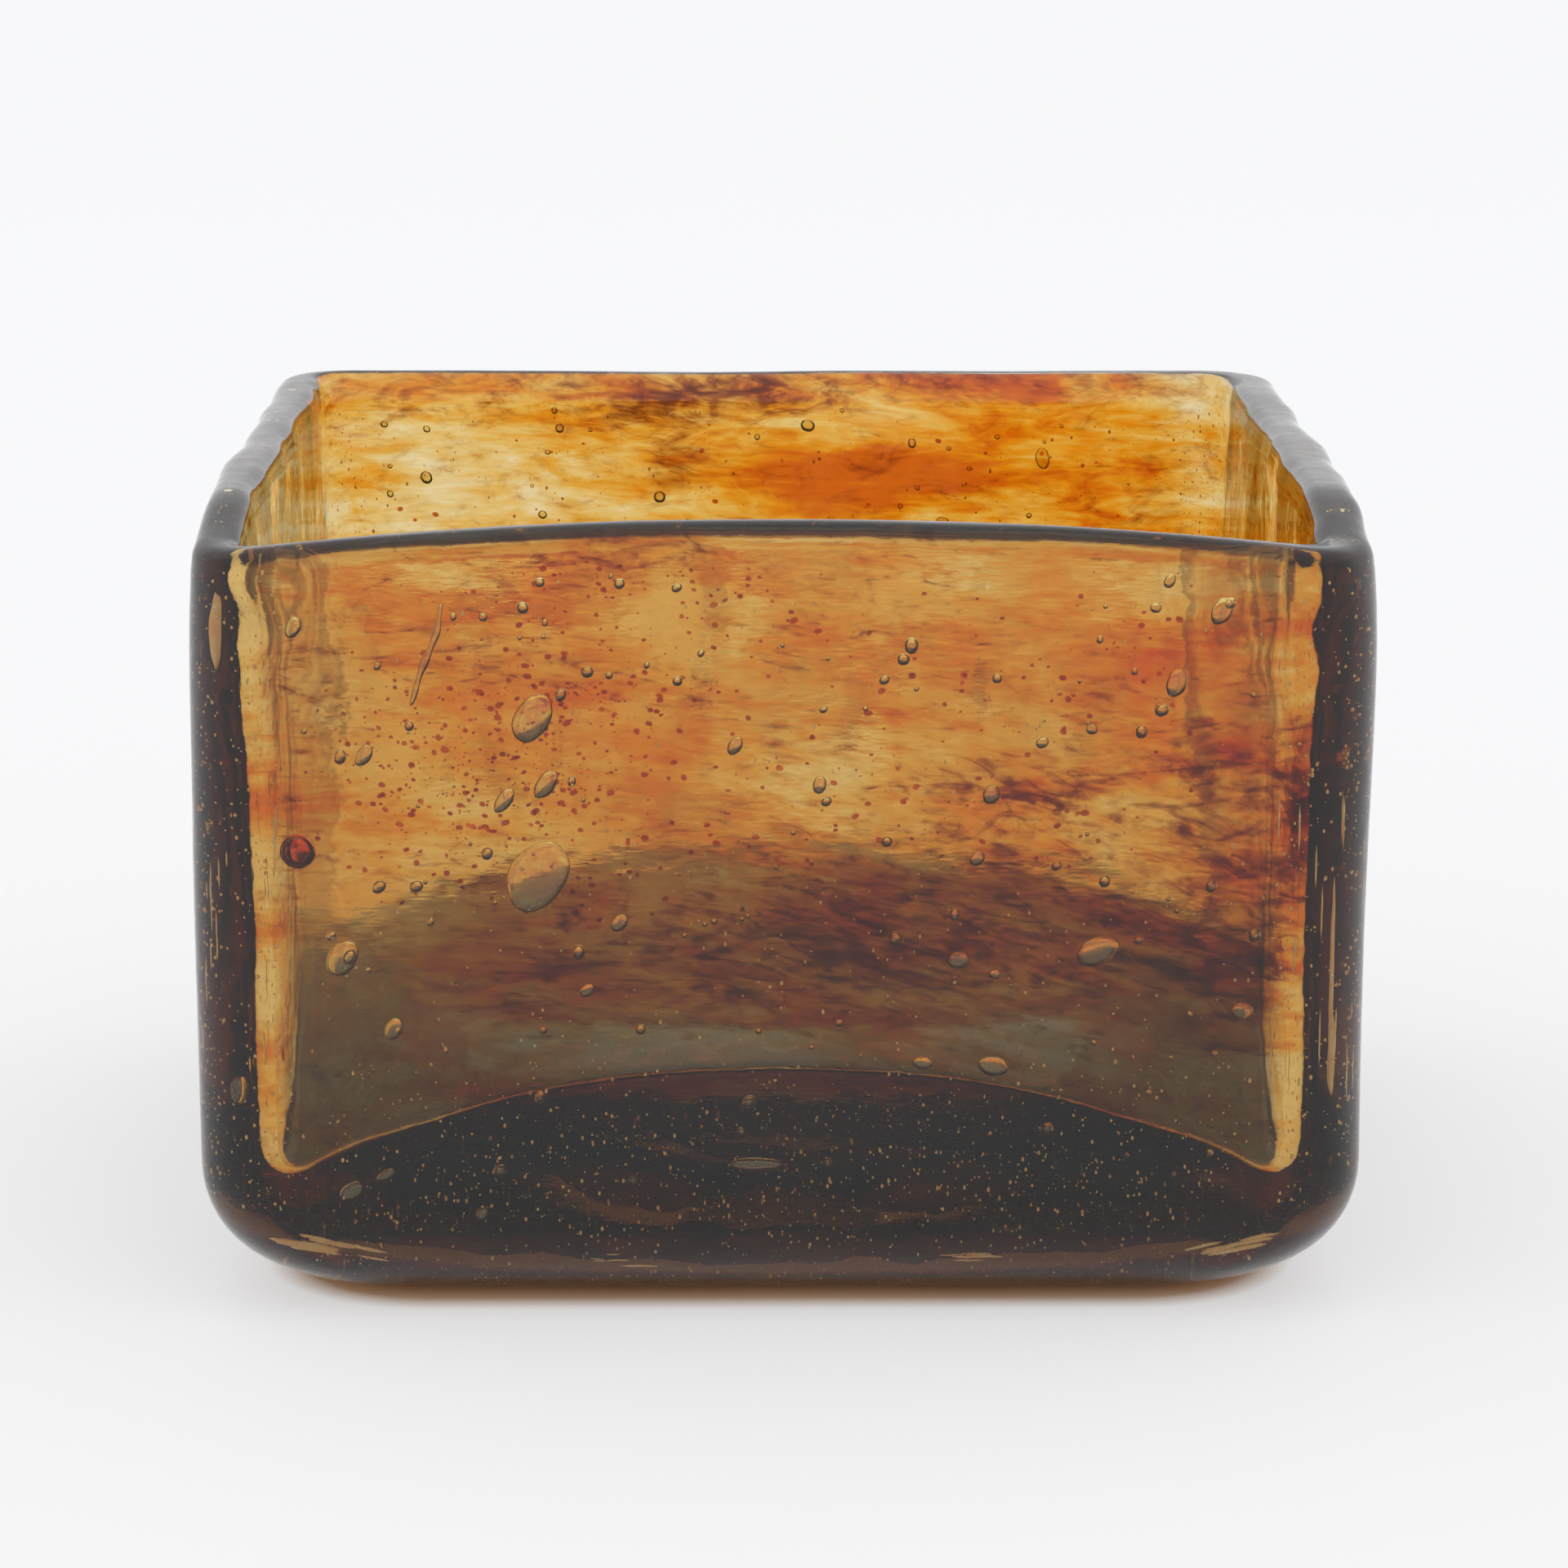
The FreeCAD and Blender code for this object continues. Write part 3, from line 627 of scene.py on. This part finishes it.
# The large bubbles of each wall, by the angle that it faces: place along, height, half length,
# half width, lean.
LARGE = {
    0: [
        (-28.7, 54.7, 4.6, 3.3, 55), (-29.1, 73.7, 3.1, 2.1, 60), (-27.6, 65.8, 1.9, 1.1, 55),
        (-32.5, 63.9, 1.7, 0.9, 55), (-56.9, 84.5, 1.3, 0.9, 65), (-51.8, 44.9, 2.4, 1.7, 60),
        (-48.9, 69.3, 1.4, 0.9, 55), (-45.9, 36.2, 1.4, 1.0, 65), (-19.1, 49.1, 1.2, 0.9, 50),
        (-5.4, 70.4, 1.2, 0.8, 60), (16.8, 31.9, 1.2, 0.8, -5), (25.2, 31.5, 1.8, 1.2, -10),
        (24.7, 64.5, 1.2, 1.0, 70), (37.5, 45.6, 2.7, 1.7, 25), (46.3, 77.8, 1.7, 1.2, 70),
        (51.5, 86.3, 1.7, 1.2, 60), (54.6, 38.2, 1.3, 1.1, 0), (-64.2, 28.6, 1.8, 1.2, 80),
        (-3, 19.4, 3.2, 0.9, 0), (-51.2, 16.3, 1.5, 1.0, 30), (-47.1, 18.2, 1.2, 0.6, 30),
        (-35.7, 13.5, 0.9, 0.7, 60), (43.7, 86.7, 0.7, 0.6, 0), (45.3, 89.8, 0.9, 0.65, 60),
        (-23, 40.9, 1.0, 0.75, 40), (21, 44.5, 1.3, 1.05, 20), (25.3, 42.8, 0.75, 0.65, 0),
        (23.1, 56.8, 1.0, 0.8, 50), (30.6, 70.7, 0.8, 0.65, 30), (36.4, 72.3, 0.7, 0.6, 0),
        (4.5, 65.7, 1.1, 0.8, 80),
    ],
    90: [(-30, 64, 2.6, 1.7, 50), (12, 40, 3.1, 2.2, 60), (38, 72, 1.6, 1.1, 40)],
    180: [
        (-38, 84, 1.5, 1.0, 80), (-24, 74, 1.7, 1.2, 75), (8, 57, 2.8, 1.9, 50),
        (40, 36, 3.2, 2.0, 40),
    ],
    270: [(-42, 50, 2.4, 1.6, 60), (2, 78, 1.5, 1.1, 30), (34, 32, 3.4, 2.3, 50)],
}


def large_bubbles():
    lumps = []
    for facing, bubbles in LARGE.items():
        for along, height, half_long, half_wide, lean in bubbles:
            thick = 0.6 if half_long > 3 else 0.3 * half_wide + 0.15
            points, faces = ellipsoid(half_long, thick, half_wide, lean)
            lumps.append((on_wall(points, facing, along, WALL_MIDDLE, height), faces))
    return merged("large_air_bubbles", lumps)


def anywhere_in_casing():
    """A random place in the casing, crowded in the corners and the base."""
    while True:
        kind = chance.random()
        if kind < 0.36:
            facing, height = chance.choice((0, 0, 0, 90, 180, 270)), chance.uniform(3, 32)
            reach = 52 + math.sqrt(18 ** 2 - max(18 - height, 0) ** 2) - 1.5
            along, depth = chance.uniform(-56, 56), chance.uniform(reach - 9, reach)
            if height > dome(np.array([math.hypot(along, depth)]))[0] - 3.4 and depth < 65.2:
                continue
            return Vector(on_wall(np.zeros((1, 3)), facing, along, depth, height)[0])
        if kind < 0.48:
            x, y = chance.uniform(-60, 60), chance.uniform(-60, 60)
            floor = float(dome(np.array([math.hypot(x, y)]))[0])
            under = KICK_RISE * max(0.0, 1 - (math.hypot(x, y) / KICK_REACH) ** 2)
            return Vector((x, y, chance.uniform(under + 1.5, max(floor - 3.4, under + 2))))
        facing = chance.choice((0, 90, 180, 270))
        if kind < 0.74:
            along = chance.uniform(-66, 66)
        else:
            along = chance.choice((-1, 1)) * chance.uniform(58, 66)
        depth = chance.uniform(65.2, 68.8)
        if abs(along) > 60 and math.hypot(abs(along) - 59, depth - 59) > 10:
            continue
        place = on_wall(np.zeros((1, 3)), facing, along, depth, chance.uniform(14, 91))[0]
        return Vector(place)


# Long thin seeds, gold as painted glints in the side columns and along the foot: along the front
# wall, depth, height, half length, half width, lean, and how many lie there.
GLINT_SLIVERS = [
    (-65.4, 64.5, 83.6, 4.4, 0.8, 88, 1), (64.6, 64.5, 42, 13, 0.26, 90, 1),
    (64.8, 64.3, 32, 5, 0.45, 89, 1), (-52, 62.5, 8.8, 5.0, 0.42, -12, 9),
    (54, 62.5, 9.2, 4.6, 0.40, 14, 8), (-20, 62, 7.2, 3.0, 0.22, 0, 5),
    (22, 62, 7.4, 3.0, 0.22, 0, 6),
]


def fine_seeds(count):
    """The fine seed bubbles as tiny balls, all in one piece."""
    points, faces = ball(5, 3)
    lumps = []
    # Gold slivers as painted glints.
    for along, depth, height, half_long, half_wide, lean, count_here in GLINT_SLIVERS:
        for _ in range(count_here):
            share, aside, raised, level = 1.0, 0.0, 0.0, 0.0
            if count_here > 1:
                share = chance.uniform(0.3, 0.8)
                aside = chance.uniform(-1, 1)
                raised = chance.uniform(-0.9, 0.9)
                level = math.tan(math.radians(lean)) * aside * half_long
            size = (half_long * share, half_wide * 0.6 * share, half_wide * share)
            body, skin = ellipsoid(*size, lean, 16, 12, 0.25)
            place = (along + aside * half_long, depth, height + raised + level)
            lumps.append((on_wall(body, 0, *place), skin))
    for _ in range(count):
        place = anywhere_in_casing()
        radius = 0.08 + 0.15 * chance.random() ** 3
        drawn = chance.uniform(0.9, 1.6)
        # Some seeds in the corner columns drawn out long: gold streaks up the columns as painted
        # glints.
        if min(abs(place.x), abs(place.y)) > 56 and 24 < place.z < 62 and chance.random() < 0.06:
            radius, drawn = 0.13, chance.uniform(6, 30)
        lumps.append((points * (radius, radius, radius * drawn) + np.array(place), faces))
    return merged("fine_seed_bubbles", lumps)


def medium_bubbles(count):
    """Round bubbles half a millimetre to two across, scattered over the walls."""
    lumps = []
    for k in range(count):
        size = 0.25 + 0.62 * chance.random() ** 2
        half_long, lean = size * chance.uniform(1.0, 1.3), chance.uniform(20, 90)
        points, faces = ellipsoid(half_long, size * 0.8, size, lean, 14, 9)
        facing = 90 * (k % 4)
        along, depth = chance.uniform(-57, 57), WALL_MIDDLE + chance.uniform(-0.8, 0.8)
        height = chance.uniform(16, 91)
        lumps.append((on_wall(points, facing, along, depth, height), faces))
    return merged("small_air_bubbles", lumps)


# Crowds of grains in the front wall: place along, height, width, height across, how many.
GRAIN_CLUSTERS = [
    (-36, 66, 20, 13, 420), (-30, 76, 24, 8, 180), (-15, 88, 24, 7, 130), (20, 60, 36, 18, 150),
    (-10, 60, 34, 16, 130), (35, 80, 24, 14, 90),
]


def colour_grains():
    """Specks of undissolved colour, crowded where the colour was laid on thickest."""
    lumps = []

    def speck(facing, along, height):
        size = 0.08 + 0.27 * chance.random() ** 3
        half_long, lean = size * chance.uniform(1, 1.8), chance.uniform(-20, 40)
        points, faces = ellipsoid(half_long, size * 0.6, size, lean, 8, 6, 0.55)
        lumps.append((on_wall(points, facing, along, GRAIN_DEPTH, height), faces))

    for along, height, wide, tall, count in GRAIN_CLUSTERS:
        for _ in range(count):
            place = along + chance.gauss(0, wide / 2), height + chance.gauss(0, tall / 2)
            if abs(place[0]) < 57 and 36 < place[1] < 92:
                speck(0, *place)
    for facing in (90, 180, 270):
        for _ in range(160):
            speck(facing, chance.uniform(-54, 54), chance.uniform(40, 88))
    return merged("colour_grain_specks", lumps)


def straw():
    """A long thin bubble, swelling and thinning along its length."""
    start, end = np.array([-43.2, -WALL_MIDDLE, 75.5]), np.array([-39.4, -WALL_MIDDLE, 87.0])
    way = (end - start) / np.linalg.norm(end - start)
    side = np.cross(way, (0, 1, 0))
    rings, segments = 40, 14
    points, faces = [start - way * 0.3], []
    for k in range(rings):
        t = k / (rings - 1)
        middle = start + (end - start) * t + side * 0.35 * math.sin(7 * t) * t
        tapered = 0.42 * math.sin(math.pi * (0.06 + 0.88 * t)) ** 0.35
        radius = tapered * (1 + 0.22 * math.sin(19 * t))
        for i in range(segments):
            a = 2 * math.pi * i / segments
            around = side * math.cos(a) + np.array([0, 0.55, 0]) * math.sin(a)
            points.append(middle + radius * around)
    points.append(end + way * 0.3)
    faces += [(0, 1 + i, 1 + (i + 1) % segments) for i in range(segments)]
    for k in range(rings - 1):
        a, b = 1 + k * segments, 1 + (k + 1) * segments
        faces += [
            (a + i, b + i, b + (i + 1) % segments, a + (i + 1) % segments) for i in range(segments)
        ]
    last, a = len(points) - 1, 1 + (rings - 1) * segments
    faces += [(last, a + (i + 1) % segments, a + i) for i in range(segments)]
    return mesh_object("straw_shaped_bubble", np.array(points), faces)


# Dark folds in the base near the front, put as painted shade and painted dark reflections: three
# places along and up, half height, and how far they lie in front of the axis.
SHADE_FOLDS = [
    ((-38, 21), (-22, 20), (-6, 14.5), 1.5, 54), ((-15, 20), (5, 13.5), (34, 20.5), 1.7, 51.5),
    ((29, 18), (39, 20.5), (49, 17), 1.6, 49), ((-22, 15.5), (2, 12), (25, 14.5), 0.8, 46.5),
    ((-31, 18.5), (-17, 15), (-2, 16), 3.4, 57), ((5, 16), (18, 14.5), (33, 18), 3.4, 58.5),
    ((-54, 10.5), (0, 8.0), (54, 10.5), 2.2, 60),
]


def make_shade_folds():
    """Thin dark folds as painted shade and dark reflections, pointed at both ends, lying one behind
    another.
    """
    rings, segments = 44, 12
    lumps = []
    for number, (first, middle, last, tall, depth) in enumerate(SHADE_FOLDS):
        points, faces = [], []
        for k in range(rings):
            t = k / (rings - 1)
            shares = ((1 - t) ** 2, 2 * t * (1 - t), t * t)
            x, z = sum(share * np.array(p) for share, p in zip(shares, (first, middle, last)))
            uneven = 1 + 0.5 * noise.noise(Vector((x * 0.16, number, 2)))
            swell = tall * uneven * math.sin(math.pi * (0.02 + 0.96 * t)) ** 0.8
            z += 0.7 * noise.noise(Vector((x * 0.12, number, 7)))
            for i in range(segments):
                a = 2 * math.pi * i / segments
                points.append((x, -depth + 0.5 * math.cos(a), z + swell * math.sin(a)))
        for k in range(rings - 1):
            faces += strip(k * segments, (k + 1) * segments, segments)
        faces.append(tuple(range(segments))[::-1])
        faces.append(tuple(range((rings - 1) * segments, rings * segments)))
        lumps.append((np.array(points), faces))
    return merged("painted_shade_sheets", lumps)


def wad():
    """The pontil wad: a shallow lump with a ground face and a softly broken edge."""
    low, high = box_mm("pontil_wad")
    radius, segments = high[0], 72
    profile = [(0.3, low[2]), (0.7, low[2]), (0.9, low[2]), (0.96, low[2] + 0.1)]
    profile += [(0.995, low[2] + 0.45), (1.0, low[2] + 0.9)]
    profile += [(s, kick_height(radius * s) + 0.15) for s in (0.99, 0.7, 0.35)]
    points = []
    for share, z in profile:
        for i in range(segments):
            a = 2 * math.pi * i / segments
            r = radius * share * (1 + 0.02 * math.sin(3 * a + 1) + 0.012 * math.sin(7 * a))
            points.append((min(r, radius) * math.cos(a), min(r, radius) * math.sin(a), z))
    faces = []
    for k in range(len(profile) - 1):
        faces += strip(k * segments, (k + 1) * segments, segments)
    last = (len(profile) - 1) * segments
    points += [(0, 0, low[2]), (0, 0, KICK_RISE + 0.15)]
    faces += [(last + segments, (i + 1) % segments, i) for i in range(segments)]
    faces += [(last + segments + 1, last + i, last + (i + 1) % segments) for i in range(segments)]
    return mesh_object("ground_pontil_wad", points, faces)


def ground_glass():
    """Ground and half polished glass: fine scratches under a soft sheen."""
    n = Nodes("ground glass")
    skin = n.add("ShaderNodeBsdfPrincipled")
    skin.inputs["Transmission Weight"].default_value = 1.0
    skin.inputs["IOR"].default_value = GLASS_INDEX
    scratches = n.noise(n.scaled((1, 9, 1)), 900, 4.0)
    amber = n.ramp(scratches, [(0.3, (0.80, 0.68, 0.50)), (0.7, (0.90, 0.80, 0.64))])
    n.link(amber, skin.inputs["Base Color"])
    n.link(n.math("ADD", n.math("MULTIPLY", scratches, 0.3), 0.12), skin.inputs["Roughness"])
    n.link(n.bump(scratches, 0.5, 0.0001), skin.inputs["Normal"])
    n.link(skin.outputs[0], n.out.inputs["Surface"])
    return n.material


def red_glass():
    """Deep red glass, lighter and deeper red in patches."""
    n = Nodes("red bead glass")
    skin = n.add("ShaderNodeBsdfGlass")
    skin.inputs["IOR"].default_value = RED_IN_GLASS
    swirl = n.noise(n.scaled((1, 1, 2)), 700, 3.0)
    reds = n.ramp(swirl, [(0.3, (0.72, 0.26, 0.12)), (0.7, (0.94, 0.48, 0.26))])
    n.link(reds, skin.inputs["Color"])
    n.link(skin.outputs[0], n.out.inputs["Surface"])
    return n.material


def seeds_with_painted_glints():
    """Fine seed bubbles with gold skins that partly bend light and partly scatter it, showing as
    painted gold glints.
    """
    n = Nodes("seed bubbles with painted gold glints")
    skin = n.add("ShaderNodeBsdfPrincipled")
    patch = n.noise(n.scaled((1, 1, 1)), 400, 2.0)
    glint_golds = n.ramp(patch, [(0.3, (0.98, 0.52, 0.14)), (0.7, (1.0, 0.80, 0.36))])
    n.link(glint_golds, skin.inputs["Base Color"])
    n.link(n.math("MULTIPLY", patch, 0.4), skin.inputs["Roughness"])
    skin.inputs["Transmission Weight"].default_value = 0.45
    skin.inputs["IOR"].default_value = SEED_INDEX
    n.link(skin.outputs[0], n.out.inputs["Surface"])
    return n.material


def dark_specks(n):
    """Red-brown, patchy from speck to speck."""
    patch = n.noise(n.scaled((1, 1, 1)), 500, 2.0)
    return n.ramp(patch, [(0.3, (0.66, 0.28, 0.12)), (0.7, (0.90, 0.58, 0.30))])


def shade_brown(n):
    """Nearly black brown for the painted shade folds, thinner in places."""
    patch = n.noise(n.scaled((1, 1, 3)), 160, 4.0)
    return n.ramp(patch, [(0.35, (0.32, 0.16, 0.09)), (0.65, (0.62, 0.40, 0.24))])


air_in_glass = air("air in glass", AIR_IN_GLASS)
give(large_bubbles(), air_in_glass, "trapped_air", "large_bubbles")
give(medium_bubbles(MEDIUM_BUBBLES), air_in_glass, "trapped_air", "small_bubbles")
give(fine_seeds(FINE_SEEDS), seeds_with_painted_glints(), "trapped_air")
give(straw(), air_in_glass, "trapped_air", "straw_blister")
# Painted shade: dark folds in the base that stand for shade and dark reflections.
give(make_shade_folds(), tint("painted shade folds", shade_brown), "streaked_colour")
give(colour_grains(), tint("colour grains", dark_specks), "brown_grains", "colour_grains")
bead_low, bead_high = box_mm("red_bead")
bead_points, bead_faces = ellipsoid(*((bead_high - bead_low) / 2), 10, uneven=0.04)
bead = mesh_object("red_glass_bead", bead_points + (bead_low + bead_high) / 2, bead_faces)
give(bead, red_glass(), "red_glass", "red_bead")
give(wad(), ground_glass(), "smoky_casing", "pontil_wad")


# ---------------------------------------------------------------- stage, light and camera
PAPER_HALF_WIDTH, PAPER_FRONT, PAPER_BEND, BEND_RADIUS, PAPER_TOP = 3000, -2600, 1100, 900, 3200
# The floor's painted glow: where it starts outside the foot square, how fast it rises and how
# strong it is. It is painted light that lifts the bowl's shadow off the floor.
FOOT_SQUARE, GLOW_STARTS, GLOW_RISES, PAINTED_FLOOR_GLOW = 0.042, 0.0174, 220, 0.50
DAYLIGHT, SKY_STRENGTH = (0.985, 0.99, 1.0), 0.96
SUN_STRENGTH, SUN_SPREAD = 0.34, 120
LENS, SENSOR_WIDTH = 118.6, 36
CAMERA_PLACE, LOOKING_DOWN, TURNED = (-0.0040, -0.6604, 0.1941), 12.22, -0.42


def floor_sweep():
    """A pale sweep: level under the bowl, rising far behind it, with a painted shadow, a painted
    amber caustic and a painted glow round the bowl's foot.
    """
    profile = [(PAPER_FRONT, 0), (PAPER_BEND, 0)]
    for a in np.linspace(0.1, 1.5, 15):
        profile.append((PAPER_BEND + BEND_RADIUS * math.sin(a), BEND_RADIUS * (1 - math.cos(a))))
    profile += [(PAPER_BEND + BEND_RADIUS + 10, PAPER_TOP)]
    points, faces = [], []
    for k, (y, z) in enumerate(profile):
        points += [(-PAPER_HALF_WIDTH, y, z), (PAPER_HALF_WIDTH, y, z)]
        if k:
            faces.append((2 * k - 2, 2 * k - 1, 2 * k + 1, 2 * k))
    sweep = mesh_object("pale_sweep", points, faces)
    n = Nodes("pale paper with painted shadow and glow")
    paper = n.add("ShaderNodeBsdfPrincipled")
    place = n.add("ShaderNodeSeparateXYZ")
    n.link(n.add("ShaderNodeTexCoord").outputs["Object"], place.inputs[0])
    sideways = n.math("ABSOLUTE", place.outputs["X"])
    inward = n.math("ABSOLUTE", place.outputs["Y"])
    past = [
        n.math("MAXIMUM", n.math("SUBTRACT", side, FOOT_SQUARE), 0.0) for side in (sideways, inward)
    ]
    squares = [n.math("MULTIPLY", part, part) for part in past]
    outside_foot = n.math("SQRT", n.math("ADD", *squares))
    beyond = n.math("SUBTRACT", outside_foot, GLOW_STARTS)
    away = n.math("MULTIPLY", beyond, GLOW_RISES, clamp=True)
    cloudy = n.math("SUBTRACT", n.noise(n.scaled((1, 1, 1)), 2.5, 3.0), 0.5)
    mottle = n.math("MULTIPLY", cloudy, 0.0004)
    # Painted shadow and painted caustic in the paper's colour: dark under the bowl, a warm amber
    # ring round the foot where light through the glass falls, then pale grey. A faint mottle makes
    # the ring's edge uneven.
    n.link(n.ramp(n.math("MULTIPLY", n.math("ADD", outside_foot, mottle), 30), [
        (0.0, (0.30, 0.30, 0.30)), (0.30, (0.34, 0.34, 0.34)), (0.42, (0.70, 0.58, 0.45)),
        (0.52, (0.98, 0.80, 0.60)), (0.66, (0.43, 0.43, 0.432)),
    ]), paper.inputs["Base Color"])
    paper.inputs["Emission Color"].default_value = (*DAYLIGHT, 1)
    # Painted glow: the paper glows, off under the bowl and rising just outside its foot, as painted
    # light in place of the bowl's lifted shadow.
    n.link(n.math("MULTIPLY", away, PAINTED_FLOOR_GLOW), paper.inputs["Emission Strength"])
    paper.inputs["Roughness"].default_value = 0.9
    paper.inputs["Specular IOR Level"].default_value = 0.1
    n.link(paper.outputs[0], n.out.inputs["Surface"])
    sweep.data.materials.append(n.material)


floor_sweep()
overhead = bpy.data.lights.new("overhead", "SUN")
overhead.energy = SUN_STRENGTH
overhead.angle = math.radians(SUN_SPREAD)
overhead_object = bpy.data.objects.new("overhead", overhead)
overhead_object.location = (0, 0, 2)
bpy.context.scene.collection.objects.link(overhead_object)

world = bpy.data.worlds.new("studio")
world.use_nodes = True
background = world.node_tree.nodes["Background"]
background.inputs["Color"].default_value = (*DAYLIGHT, 1)
background.inputs["Strength"].default_value = SKY_STRENGTH
scene = bpy.context.scene
scene.world = world
scene.view_settings.view_transform = "Standard"
scene.cycles.max_bounces = 28
scene.cycles.transmission_bounces = 26
scene.cycles.glossy_bounces = 16
scene.cycles.diffuse_bounces = 4
scene.cycles.transparent_max_bounces = 64
scene.cycles.caustics_refractive = True
scene.cycles.caustics_reflective = True

camera_data = bpy.data.cameras.new("camera")
camera_data.lens = LENS
camera_data.sensor_width = SENSOR_WIDTH
camera_data.clip_start = 0.05
camera = bpy.data.objects.new("camera", camera_data)
camera.location = CAMERA_PLACE
camera.rotation_euler = (math.radians(90 - LOOKING_DOWN), 0, math.radians(TURNED))
scene.collection.objects.link(camera)
scene.camera = camera
